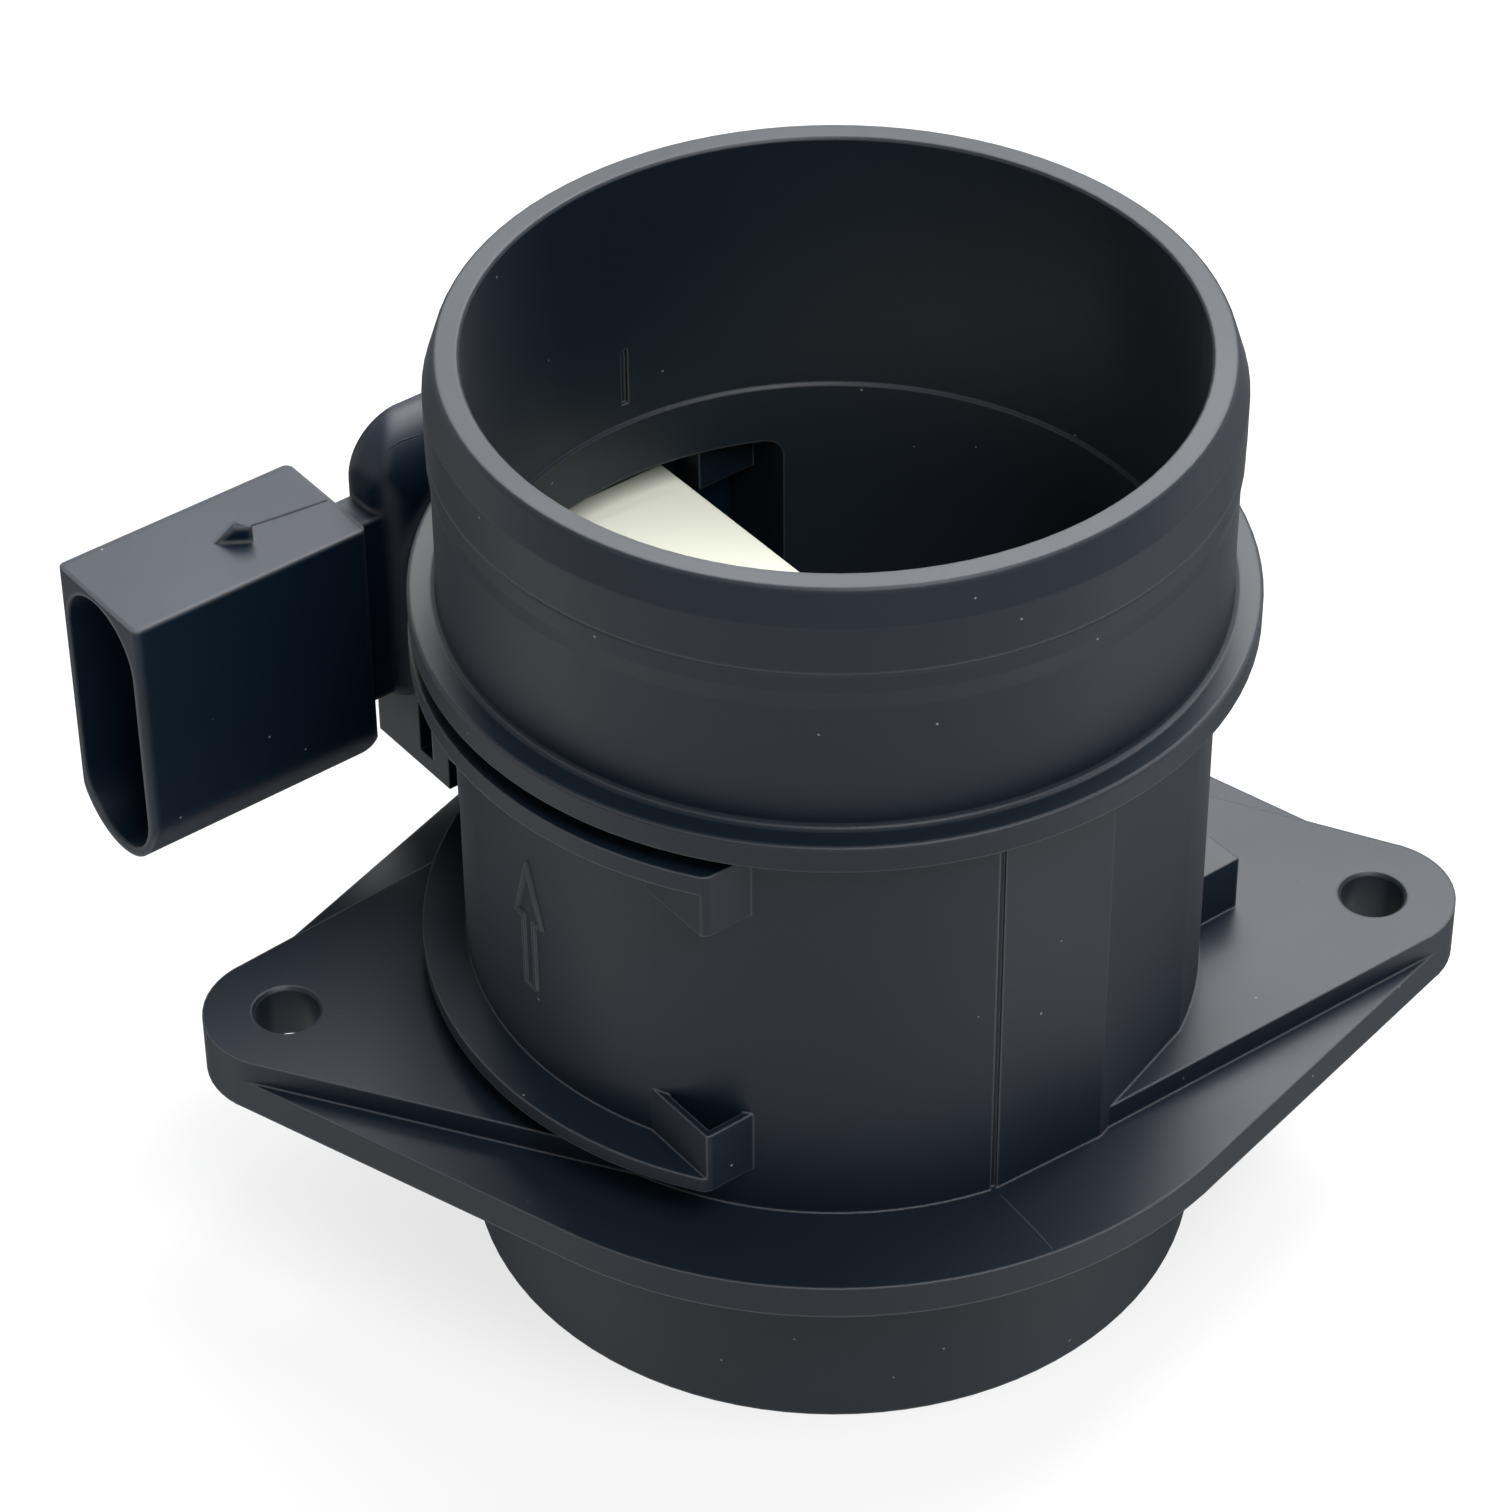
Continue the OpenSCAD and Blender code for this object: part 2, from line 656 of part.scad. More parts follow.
// Everything below the plane through three points
module below(a, b, c) {
  n = cross(b - a, c - a);
  m = sign(n[2])*n/norm(n);
  translate(a) rotate([0, acos(m[2]), atan2(m[1], m[0])])
    translate([-module_half, -module_half, -module_half]) cube([2*module_half, 2*module_half, module_half]);
}

// Outline of the shroud: square shoulders and a round underside
module shroud_outline(r, top) {
  translate([shroud_mid, shroud_low]) circle(r);
  translate([shroud_mid - r, shroud_low]) square([2*r, top - shroud_low]);
}

module shroud() {
  difference() {
    intersection() {
      along_y(shroud_rear, shroud_reach) shroud_outline(shroud_w/2, shroud_top);
      translate([0, 0, shroud_low - shroud_w]) linear_extrude(duct_h)
        round_rect(shroud_u, shroud_u + shroud_w, shroud_rear, shroud_reach, shroud_corner_r);
    }
    // the cavity is round at both ends
    along_y(cavity_end, shroud_reach + over) {
      translate([shroud_mid, shroud_low]) circle(shroud_in_r);
      translate([shroud_mid - shroud_in_r, shroud_low])
        square([2*shroud_in_r, shroud_apex - shroud_in_r - shroud_low]);
      translate([shroud_mid, shroud_apex - shroud_in_r]) circle(shroud_in_r);
    }
    // the rear underside curves up to the module
    difference() {
      box(shroud_u - over, shroud_u + shroud_w + over, shroud_rear - over, shroud_rear + rear_r,
          shroud_low - shroud_w, shroud_low - e);
      translate([shroud_u - 2*over, shroud_rear + rear_r, shroud_low - e]) rotate([0, 90, 0])
        scale([1.44, 1, 1]) cylinder(r = rear_r, h = shroud_w + 4*over);
    }
  }
  latch();
}

// Latch wedge on the shroud: a ramp at its tip, and a top that falls away from the duct
module latch() {
  rear = latch_tip - latch_l;
  tip = [shroud_mid + 0.4, latch_tip, shroud_top];
  far = [shroud_mid + latch_half, rear, shroud_top];
  near = [shroud_mid - latch_half + 0.4, rear + 0.4, shroud_top + latch_h];
  crest = tip + (near - tip)*0.55;
  intersection() {
    translate([0, 0, shroud_top - e]) linear_extrude(latch_h + 2*e)
      polygon([[tip[0], tip[1]], [far[0], far[1]], [near[0], near[1]]]);
    below(tip, far, [crest[0], crest[1], near[2]]);
    below(far, near, [crest[0], crest[1], near[2]]);
  }
}

// One blade with its jog and its tail to the board, grown by a margin for its slot
module blade(i) {
  z = blade_mid_z + (i - 3)*blade_pitch;
  zt = z + tail_rise;
  w = blade_w/2;
  t = blade_t/2;
  jog = cavity_end - blade_root;
  box(shroud_mid - w, shroud_mid + w, jog, cavity_end + blade_len, z - t, z + t);
  box(tail_u - w, shroud_mid + w, jog - blade_t, jog, z - t, zt + t);
  box(tail_u - w, tail_u + w, tail_w, jog - blade_t, zt - t, zt + t);
  box(board_u + board_t, tail_u + w, tail_w - blade_t, tail_w, zt - t, zt + t);
}

// Row of cylinders along x at the four screws
module at_screws(x0, x1, d) {
  for (p = screw_spots) translate([x0, p[0], p[1]]) rotate([0, 90, 0]) cylinder(d = d, h = x1 - x0);
}

// Outside of the module's slab: an arch from the side, and rounded towards the duct
module slab() {
  intersection() {
    along_x(module_u, back_u) arch(module_half, module_z, module_top, crown_r);
    along_y(-module_half, module_half) crown_side();
    translate([0, 0, module_z - over]) linear_extrude(module_top)
      round_rect(module_u, back_u + 2*slab_corner_r, -module_half, module_half, slab_corner_r);
  }
}

module module_body() {
  color([0.12, 0.125, 0.135]) at_module() difference() {
    union() {
      along_x(seat_u, module_u + slab_corner_r) arch(seat_half, module_z, collar_top, plug_r);
      slab();
      box(neck_u - neck_w/2, neck_u + neck_w/2, module_half - slab_corner_r, shroud_rear + 2*e,
          module_z + 0.6, shroud_top - 0.4);
      shroud();
    }
    difference() {
      union() {
        along_x(floor_u, back_u + over) arch(plug_in_half, plug_in_z, plug_in_top, plug_in_r);
        along_x(slab_in_u, back_u + over) arch(slab_in_half, slab_in_z, slab_in_top, slab_in_r);
      }
      // bosses that carry the base plate beside the insert's flange
      at_screws(floor_u - e, flange_u, screw_head_d + 0.2);
    }
    along_x(lid_u, back_u + over) arch(lid_half, lid_z, lid_top, lid_r);
    along_x(seat_u - over, seat_u + seal_t) seal_ring(hair);
    box(seat_u - over, floor_u + over, -insert_half - fit, insert_half + fit,
        insert_z - fit, insert_top + fit);
    at_screws(seat_u - over, flange_u + over, screw_d + 0.5);
    for (i = [1:5]) blade(i);
  }
}

module terminal(i) color([0.76, 0.72, 0.6]) at_module() blade(i);

// The insert with its air channel, the carrier's slot and the notch of the temperature bead
module insert_body() {
  color([0.93, 0.91, 0.85]) at_module() difference() {
    union() {
      box(-insert_tip, flange_u - e, -insert_half, insert_half, insert_z, insert_top);
      box(floor_u, flange_u, -insert_half - insert_flange_w, insert_half + insert_flange_w,
          insert_z - insert_flange_w, insert_top + insert_flange_w);
    }
    box(duct_near, duct_far, -channel_half, insert_half - insert_lid_t, insert_z - over, insert_top + over);
    box(duct_far - over, floor_u - lid_stop, -carrier_t/2, insert_half - insert_lid_t,
        carrier_z - carrier_h/2 - fit, carrier_z + carrier_h/2 + fit);
    box(duct_far - over, flange_u + over, -carrier_t/2, carrier_t/2 + 2*fit,
        carrier_z - carrier_h/2 - fit, carrier_z + carrier_h/2 + fit);
    insert_lid(fit, over);
    box(notch_mid - notch_half, notch_mid + notch_half, -insert_half - over, insert_half + over,
        insert_z - over, insert_z + notch_h);
    for (s = [-1, 1]) lead(s);
  }
}

// The lid that closes the insert's side, grown by a margin and raised for the cut that it needs
module insert_lid(grow, rise) box(duct_near - insert_wall - grow, floor_u - lid_stop + over + grow,
  insert_half - insert_lid_t, insert_half + rise, insert_z + insert_wall - grow,
  insert_top - insert_wall + grow);

module insert_cover() color([0.9, 0.88, 0.82]) at_module() insert_lid(0, 0);

module film_carrier() {
  color([0.88, 0.88, 0.84]) at_module()
    box(duct_near + 5, board_u + board_t + 1.6, -carrier_t/2, carrier_t/2,
        carrier_z - carrier_h/2, carrier_z + carrier_h/2);
}

module film_chip() {
  color([0.3, 0.34, 0.42]) at_module()
    box(chip_u, chip_u + chip_l, carrier_t/2, carrier_t/2 + chip_t, carrier_z - chip_l/2 - 0.1,
        carrier_z + chip_l/2 + 0.1);
}

module chip_potting() {
  color([0.16, 0.17, 0.19]) at_module()
    box(chip_u + chip_l, chip_u + 1.85*chip_l, carrier_t/2, carrier_t/2 + 1,
        carrier_z - 0.7*chip_l, carrier_z + 0.7*chip_l);
}

// The bead hangs level in the notch between its two leads
module lead(s) {
  into = notch_half + 2;
  translate([notch_mid + (s > 0 ? bead_sensor_r - lead_in_bead : -into), 0, bead_sensor_z]) rotate([0, 90, 0])
    cylinder(r = lead_r, h = into - bead_sensor_r + lead_in_bead);
}

// Half section of the bead: a short barrel with tapered ends
module bead_outline() {
  r = bead_sensor_r;
  polygon([[0, -r], [0.45*r, -r], [r, -0.5*r], [r, 0.5*r], [0.45*r, r], [0, r]]);
}

module thermistor_bead() {
  color([0.2, 0.2, 0.22]) at_module() difference() {
    translate([notch_mid, 0, bead_sensor_z]) rotate([0, 90, 0]) rotate_extrude() bead_outline();
    for (s = [-1, 1]) lead(s);
  }
}

module thermistor_lead(s) color([0.72, 0.72, 0.7]) at_module() lead(s);

module base_plate() {
  color([0.72, 0.73, 0.74]) at_module() difference() {
    along_x(plate_u, board_u)
      arch(plug_in_half - 3*fit, plug_in_z + 3*fit, plug_in_top - 3*fit, plug_in_r - 3*fit);
    carrier_slot();
    at_screws(plate_u - over, board_u + over, screw_d + 0.5);
  }
}

module carrier_slot() box(plate_u - over, board_u + board_t + over, -carrier_t/2 - 4*fit,
  carrier_t/2 + 4*fit, carrier_z - carrier_h/2 - 6*fit, carrier_z + carrier_h/2 + 6*fit);

module board() {
  color([0.1, 0.32, 0.2]) at_module() difference() {
    box(board_u, board_u + board_t, -board_half, board_half, window_z, insert_top + 3.6);
    carrier_slot();
  }
}

module board_chip() {
  size = 6.5;
  side = 1.4 - board_half;
  color([0.08, 0.08, 0.09]) at_module() box(board_u + board_t, board_u + board_t + 1.4,
    side, side + size, carrier_z + size/2, carrier_z + 3*size/2);
}

module board_capacitors() {
  size = [0.9, 3.2, 1.6];
  side = 2.9 - board_half;
  color([0.6, 0.5, 0.36]) at_module() for (i = [0:2])
    translate([board_u + board_t, side, carrier_z - 7 + i*3]) cube(size);
}

module module_screws() {
  color([0.7, 0.7, 0.72]) at_module() {
    difference() {
      at_screws(board_u, board_u + screw_head_h, screw_head_d);
      for (p = screw_spots) translate([board_u + screw_head_h - socket_h, p[0], p[1]]) rotate([0, 90, 0])
        cylinder(d = socket_d, h = socket_h + over, $fn = 6);
    }
    at_screws(post_u + 0.6, board_u + fit, screw_d);
  }
}

module module_cover() {
  color([0.11, 0.115, 0.125]) at_module() along_x(lid_u, back_u)
    arch(lid_half - fit, lid_z + fit, lid_top - fit, lid_r - fit);
}

housing();
flow_grid();
grid_ring();
module_seal();
module_body();
terminal(1);  // terminal_1
terminal(2);  // terminal_2
terminal(3);  // terminal_3
terminal(4);  // terminal_4
terminal(5);  // terminal_5
insert_body();
insert_cover();
film_carrier();
film_chip();
chip_potting();
thermistor_bead();
thermistor_lead(-1);  // thermistor_lead_1
thermistor_lead(1);  // thermistor_lead_2
base_plate();
board();
board_chip();
board_capacitors();
module_screws();
module_cover();
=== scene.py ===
"""Looks of the mass airflow sensor: finishes, small moulding details, light, floor and camera.

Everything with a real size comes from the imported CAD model. Z is the duct's axis and lengths are
in metres.
"""

import json
import math

import bpy
import numpy as np
from mathutils import Matrix, Vector


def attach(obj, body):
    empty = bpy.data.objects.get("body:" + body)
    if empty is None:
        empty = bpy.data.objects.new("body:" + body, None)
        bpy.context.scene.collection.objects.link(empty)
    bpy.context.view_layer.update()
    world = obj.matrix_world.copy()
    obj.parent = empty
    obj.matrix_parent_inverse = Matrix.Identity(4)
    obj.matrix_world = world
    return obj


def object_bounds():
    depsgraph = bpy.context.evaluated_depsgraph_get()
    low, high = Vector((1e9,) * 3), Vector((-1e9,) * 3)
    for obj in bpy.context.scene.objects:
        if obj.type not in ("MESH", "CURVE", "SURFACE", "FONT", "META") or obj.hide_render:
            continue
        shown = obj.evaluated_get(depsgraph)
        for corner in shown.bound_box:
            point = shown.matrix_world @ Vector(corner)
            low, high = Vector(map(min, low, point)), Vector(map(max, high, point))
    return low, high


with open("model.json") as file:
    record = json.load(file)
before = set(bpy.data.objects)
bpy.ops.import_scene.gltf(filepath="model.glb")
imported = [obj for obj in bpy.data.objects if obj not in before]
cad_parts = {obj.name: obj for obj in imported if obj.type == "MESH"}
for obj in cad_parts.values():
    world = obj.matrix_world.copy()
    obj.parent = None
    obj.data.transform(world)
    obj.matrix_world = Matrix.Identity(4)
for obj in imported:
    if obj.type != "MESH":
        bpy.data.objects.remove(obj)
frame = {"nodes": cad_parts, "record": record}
MM = 0.001

# Size of the CAD model before anything is added
low_at_start, high_at_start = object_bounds()


# Colours, as linear red, green and blue

NAVY_BLACK = (0.0034, 0.0072, 0.0125, 1.0)
# Painted highlight: this lighter colour is mixed in along the rounded edges to stand for light caught
# there.
NAVY_EDGE_HIGHLIGHT = (0.070, 0.076, 0.082, 1.0)
MODULE_BLACK = (0.0012, 0.0064, 0.0145, 1.0)
GRID_BLACK = (0.0030, 0.0060, 0.0110, 1.0)
IVORY = (0.80, 0.81, 0.69, 1.0)
RUBBER_RED = (0.13, 0.030, 0.020, 1.0)
DUST_GREY = (0.22, 0.22, 0.21, 1.0)


# Shader node helpers. The Mix node has several sockets of each name, so those are told apart by number.

MIX_COLOUR_UNDER = 6
MIX_COLOUR_OVER = 7
MIX_COLOUR_RESULT = 2
MIX_VECTOR_UNDER = 4
MIX_VECTOR_OVER = 5
MIX_VECTOR_RESULT = 1


def add(tree, kind, **settings):
    """Adds a node to a tree and sets its plain settings."""
    node = tree.nodes.new(kind)
    for key, value in settings.items():
        setattr(node, key, value)
    return node


def value(node, socket, number):
    """Sets a socket's own constant."""
    node.inputs[socket].default_value = number


def math_node(tree, operation, first, second=None, clamp=False):
    """A maths node fed by sockets or numbers. Returns its output."""
    node = add(tree, "ShaderNodeMath", operation=operation, use_clamp=clamp)
    for index, source in enumerate((first, second)):
        if source is None:
            continue
        if isinstance(source, (int, float)):
            node.inputs[index].default_value = source
        else:
            tree.links.new(source, node.inputs[index])
    return node.outputs[0]


def new_group(name, numbers, outputs):
    """An empty node group with named number inputs and named outputs."""
    tree = bpy.data.node_groups.new(name, "ShaderNodeTree")
    for label, default in numbers.items():
        socket = tree.interface.new_socket(name=label, in_out="INPUT", socket_type="NodeSocketFloat")
        socket.default_value = default
    for label, kind in outputs.items():
        tree.interface.new_socket(name=label, in_out="OUTPUT", socket_type=kind)
    start = tree.nodes.new("NodeGroupInput")
    end = tree.nodes.new("NodeGroupOutput")
    return tree, start, end


# Shared effects

def edge_group():
    """Soft moulded edges: the Bevel node's rounded normal, and a mask of where it turns away."""
    tree, start, end = new_group(
        "moulded_edge",
        {"Radius": 0.0004, "Gain": 6.0},
        {"Normal": "NodeSocketVector", "Mask": "NodeSocketFloat"},
    )
    links = tree.links
    bevel = add(tree, "ShaderNodeBevel", samples=6)
    links.new(start.outputs["Radius"], bevel.inputs["Radius"])
    true_normal = add(tree, "ShaderNodeNewGeometry")
    across = add(tree, "ShaderNodeVectorMath", operation="DOT_PRODUCT")
    links.new(bevel.outputs["Normal"], across.inputs[0])
    links.new(true_normal.outputs["Normal"], across.inputs[1])
    turned = math_node(tree, "SUBTRACT", 1.0, across.outputs["Value"])
    strong = math_node(tree, "MULTIPLY", turned, start.outputs["Gain"], clamp=True)
    links.new(bevel.outputs["Normal"], end.inputs["Normal"])
    links.new(strong, end.inputs["Mask"])
    return tree


def grain_group():
    """Fine spark-eroded grain of a moulded face, as a height, with a slow patchiness for roughness."""
    tree, start, end = new_group(
        "mould_grain",
        {"Grain Scale": 2600.0, "Patch Scale": 38.0},
        {"Height": "NodeSocketFloat", "Patches": "NodeSocketFloat"},
    )
    links = tree.links
    place = add(tree, "ShaderNodeTexCoord")
    fine = add(tree, "ShaderNodeTexNoise", noise_dimensions="3D")
    value(fine, "Detail", 2.0)
    value(fine, "Roughness", 0.6)
    links.new(place.outputs["Object"], fine.inputs["Vector"])
    links.new(start.outputs["Grain Scale"], fine.inputs["Scale"])
    slow = add(tree, "ShaderNodeTexNoise", noise_dimensions="3D")
    value(slow, "Detail", 3.0)
    value(slow, "Roughness", 0.55)
    links.new(place.outputs["Object"], slow.inputs["Vector"])
    links.new(start.outputs["Patch Scale"], slow.inputs["Scale"])
    links.new(fine.outputs["Fac"], end.inputs["Height"])
    links.new(slow.outputs["Fac"], end.inputs["Patches"])
    return tree


def dust_group():
    """A few pale specks of dust, as a mask."""
    tree, start, end = new_group(
        "settled_dust",
        {"Specks": 0.0, "Speck Scale": 210.0, "Speck Radius": 0.032},
        {"Mask": "NodeSocketFloat"},
    )
    links = tree.links
    place = add(tree, "ShaderNodeTexCoord")
    cells = add(tree, "ShaderNodeTexVoronoi", voronoi_dimensions="3D", feature="F1")
    links.new(place.outputs["Object"], cells.inputs["Vector"])
    links.new(start.outputs["Speck Scale"], cells.inputs["Scale"])
    inside = math_node(tree, "LESS_THAN", cells.outputs["Distance"], start.outputs["Speck Radius"])
    specks = math_node(tree, "MULTIPLY", inside, start.outputs["Specks"], clamp=True)
    links.new(specks, end.inputs["Mask"])
    return tree


EDGE = edge_group()
GRAIN = grain_group()
DUST = dust_group()


def use_group(tree, group, **numbers):
    """Places a group in a material and sets its named inputs."""
    node = add(tree, "ShaderNodeGroup", node_tree=group)
    for label, number in numbers.items():
        value(node, label.replace("_", " "), number)
    return node


def mix_colour(tree, mask, under, over):
    """Colour that goes from one to another by a mask. Each is a socket or a colour."""
    node = add(tree, "ShaderNodeMix", data_type="RGBA")
    tree.links.new(mask, node.inputs["Factor"])
    for socket, source in ((node.inputs[MIX_COLOUR_UNDER], under), (node.inputs[MIX_COLOUR_OVER], over)):
        if isinstance(source, tuple):
            socket.default_value = source
        else:
            tree.links.new(source, socket)
    return node.outputs[MIX_COLOUR_RESULT]


def blank_material(name):
    """A new material with only a Principled shader and its output."""
    material = bpy.data.materials.new(name)
    material.use_nodes = True
    tree = material.node_tree
    tree.nodes.clear()
    shader = add(tree, "ShaderNodeBsdfPrincipled")
    output = add(tree, "ShaderNodeOutputMaterial")
    tree.links.new(shader.outputs["BSDF"], output.inputs["Surface"])
    return material, tree, shader


def crown_blend(tree, edges, crown):
    """Edge normal and mask that give way, past a limit along one direction, to a wide plain rounding."""
    direction, limit, radius = crown
    links = tree.links
    wide = use_group(tree, EDGE, Radius=radius)
    place = add(tree, "ShaderNodeTexCoord")
    along = add(tree, "ShaderNodeVectorMath", operation="DOT_PRODUCT")
    along.inputs[1].default_value = direction
    links.new(place.outputs["Object"], along.inputs[0])
    here = add(tree, "ShaderNodeMapRange")
    value(here, "From Min", limit + MM)
    value(here, "From Max", limit)
    links.new(along.outputs["Value"], here.inputs["Value"])
    blend = add(tree, "ShaderNodeMix", data_type="VECTOR")
    links.new(here.outputs["Result"], blend.inputs["Factor"])
    links.new(edges.outputs["Normal"], blend.inputs[MIX_VECTOR_UNDER])
    links.new(wide.outputs["Normal"], blend.inputs[MIX_VECTOR_OVER])
    unit = add(tree, "ShaderNodeVectorMath", operation="NORMALIZE")
    links.new(blend.outputs[MIX_VECTOR_RESULT], unit.inputs[0])
    elsewhere = math_node(tree, "SUBTRACT", 1.0, here.outputs["Result"])
    mask = math_node(tree, "MULTIPLY", edges.outputs["Mask"], elsewhere)
    return unit.outputs["Vector"], mask


EDGE_GAIN = 5.0
PLASTIC_SMOOTHER = 0.05
PLASTIC_ROUGHER = 0.07
SLANT_START = 0.42
SLANT_END = 0.78
PLASTIC_BUMP = 0.5


def plastic(name, colour, edge_highlight, rough, shine=0.5, grain=0.00002, edge=0.0004, specks=0.0,
            slant_rough=0.0, crown=None):
    """Moulded material: grained faces, edges lightened by a painted highlight, slightly uneven sheen and
    some specks.

    slant_rough is added to the roughness where a face is seen at a slant, and crown, if given, is the
    direction, limit and radius for crown_blend.
    """
    material, tree, shader = blank_material(name)
    links = tree.links
    value(shader, "Specular IOR Level", shine)
    soft = use_group(tree, EDGE, Radius=edge, Gain=EDGE_GAIN)
    rounded, edge_highlight_mask = soft.outputs["Normal"], soft.outputs["Mask"]
    if crown:
        rounded, edge_highlight_mask = crown_blend(tree, soft, crown)
    grained = use_group(tree, GRAIN)
    settled = use_group(tree, DUST, Specks=specks)
    # Painted highlight: the lighter edge colour is mixed in where the rounded edge normal turns away from
    # the face; real dust specks go on top.
    base = mix_colour(tree, edge_highlight_mask, colour, edge_highlight)
    dust_and_highlight = mix_colour(tree, settled.outputs["Mask"], base, DUST_GREY)
    links.new(dust_and_highlight, shader.inputs["Base Color"])
    spread = add(tree, "ShaderNodeMapRange")
    value(spread, "To Min", rough - PLASTIC_SMOOTHER)
    value(spread, "To Max", rough + PLASTIC_ROUGHER)
    links.new(grained.outputs["Patches"], spread.inputs["Value"])
    slant = add(tree, "ShaderNodeLayerWeight")
    steep = add(tree, "ShaderNodeMapRange")
    value(steep, "From Min", SLANT_START)
    value(steep, "From Max", SLANT_END)
    value(steep, "To Max", slant_rough)
    links.new(slant.outputs["Facing"], steep.inputs["Value"])
    uneven = math_node(tree, "ADD", spread.outputs["Result"], steep.outputs["Result"])
    links.new(uneven, shader.inputs["Roughness"])
    bump = add(tree, "ShaderNodeBump")
    value(bump, "Strength", PLASTIC_BUMP)
    value(bump, "Distance", grain)
    links.new(grained.outputs["Height"], bump.inputs["Height"])
    links.new(rounded, bump.inputs["Normal"])
    links.new(bump.outputs["Normal"], shader.inputs["Normal"])
    return material


METAL_EDGE = 0.00015
METAL_GRAIN_SCALE = 900.0
METAL_PATCH_SCALE = 160.0
METAL_SMOOTHER = 0.06
METAL_ROUGHER = 0.10
METAL_BUMP = 0.3
METAL_GRAIN = 0.00001


def metal(name, colour, rough):
    """Bare metal with fine uneven polish."""
    material, tree, shader = blank_material(name)
    links = tree.links
    soft = use_group(tree, EDGE, Radius=METAL_EDGE)
    grained = use_group(tree, GRAIN, Grain_Scale=METAL_GRAIN_SCALE, Patch_Scale=METAL_PATCH_SCALE)
    value(shader, "Base Color", colour)
    value(shader, "Metallic", 1.0)
    spread = add(tree, "ShaderNodeMapRange")
    value(spread, "To Min", rough - METAL_SMOOTHER)
    value(spread, "To Max", rough + METAL_ROUGHER)
    links.new(grained.outputs["Patches"], spread.inputs["Value"])
    links.new(spread.outputs["Result"], shader.inputs["Roughness"])
    bump = add(tree, "ShaderNodeBump")
    value(bump, "Strength", METAL_BUMP)
    value(bump, "Distance", METAL_GRAIN)
    links.new(grained.outputs["Height"], bump.inputs["Height"])
    links.new(soft.outputs["Normal"], bump.inputs["Normal"])
    links.new(bump.outputs["Normal"], shader.inputs["Normal"])
    return material


# The electronics module is turned about the duct, and its domed chamber ends where its neck begins

MODULE_TURN = math.radians(119.0)
TO_MOUTH = (-math.sin(MODULE_TURN), math.cos(MODULE_TURN), 0.0)
CHAMBER_END = 22.6 * MM
CHAMBER_ROUNDING = 2.2 * MM
CHAMBER = (TO_MOUTH, CHAMBER_END, CHAMBER_ROUNDING)


# One finish for each kind of material

BLACK_SHINE = 0.25
BLACK_ROUGHNESS = 0.42
BLACK_SLANT_ROUGHNESS = 0.40
SPECKS = 0.6


def black_plastic(name, colour, rough=BLACK_ROUGHNESS, edge=0.0004, crown=None):
    """The near-black plastic of the mouldings, with a few specks of dust and a painted highlight along its
    edges.
    """
    return plastic(name, colour, NAVY_EDGE_HIGHLIGHT, rough, shine=BLACK_SHINE, edge=edge, specks=SPECKS,
                   slant_rough=BLACK_SLANT_ROUGHNESS, crown=crown)


FINISHES = {
    "housing_plastic": black_plastic("housing_plastic", NAVY_BLACK),
    "module_plastic": black_plastic("module_plastic", MODULE_BLACK, edge=0.0009, crown=CHAMBER),
    "grid_plastic": black_plastic("grid_plastic", GRID_BLACK, rough=0.5, edge=0.0002),
    "insert_plastic": plastic("insert_plastic", IVORY, IVORY, 0.46, edge=0.0003),
    "seal_rubber": plastic("seal_rubber", RUBBER_RED, RUBBER_RED, 0.7, grain=0.00004),
    "ceramic": plastic("ceramic", (0.78, 0.78, 0.74, 1.0), (0.82, 0.82, 0.80, 1.0), 0.35),
    "sensor_film": plastic("sensor_film", (0.05, 0.07, 0.12, 1.0), (0.2, 0.22, 0.26, 1.0), 0.18),
    "potting": plastic("potting", (0.02, 0.022, 0.026, 1.0), (0.03, 0.03, 0.03, 1.0), 0.22),
    "bead_glass": plastic("bead_glass", (0.03, 0.03, 0.034, 1.0), (0.06, 0.06, 0.06, 1.0), 0.15),
    "board_laminate": plastic("board_laminate", (0.012, 0.075, 0.035, 1.0), (0.1, 0.12, 0.07, 1.0), 0.32),
    "package_black": plastic("package_black", (0.012, 0.012, 0.013, 1.0), (0.05, 0.05, 0.05, 1.0), 0.5),
    "capacitor_body": plastic("capacitor_body", (0.32, 0.22, 0.12, 1.0), (0.4, 0.3, 0.2, 1.0), 0.4),
    "spring_steel": metal("spring_steel", (0.50, 0.49, 0.47, 1.0), 0.32),
    "screw_steel": metal("screw_steel", (0.56, 0.56, 0.57, 1.0), 0.30),
    "lead_wire": metal("lead_wire", (0.66, 0.66, 0.64, 1.0), 0.28),
    "base_aluminium": metal("base_aluminium", (0.70, 0.71, 0.72, 1.0), 0.42),
    "contact_metal": metal("contact_metal", (0.70, 0.62, 0.44, 1.0), 0.26),
}

slot_of = {part["node"]: part["material_slot"] for part in frame["record"]["subparts"]}
for node_name, node_object in frame["nodes"].items():
    node_object.data.materials.clear()
    node_object.data.materials.append(FINISHES[slot_of[node_name]])


# Moulding lines: thin raised flash where the mould's halves met, too fine for the CAD model.
# Places, widths and heights are in millimetres.

def at_module(u, w, z):
    """A place in millimetres from the module's own directions: u away from the duct, w to the mouth."""
    x = u * math.cos(MODULE_TURN) - w * math.sin(MODULE_TURN)
    y = u * math.sin(MODULE_TURN) + w * math.cos(MODULE_TURN)
    return (x, y, z)


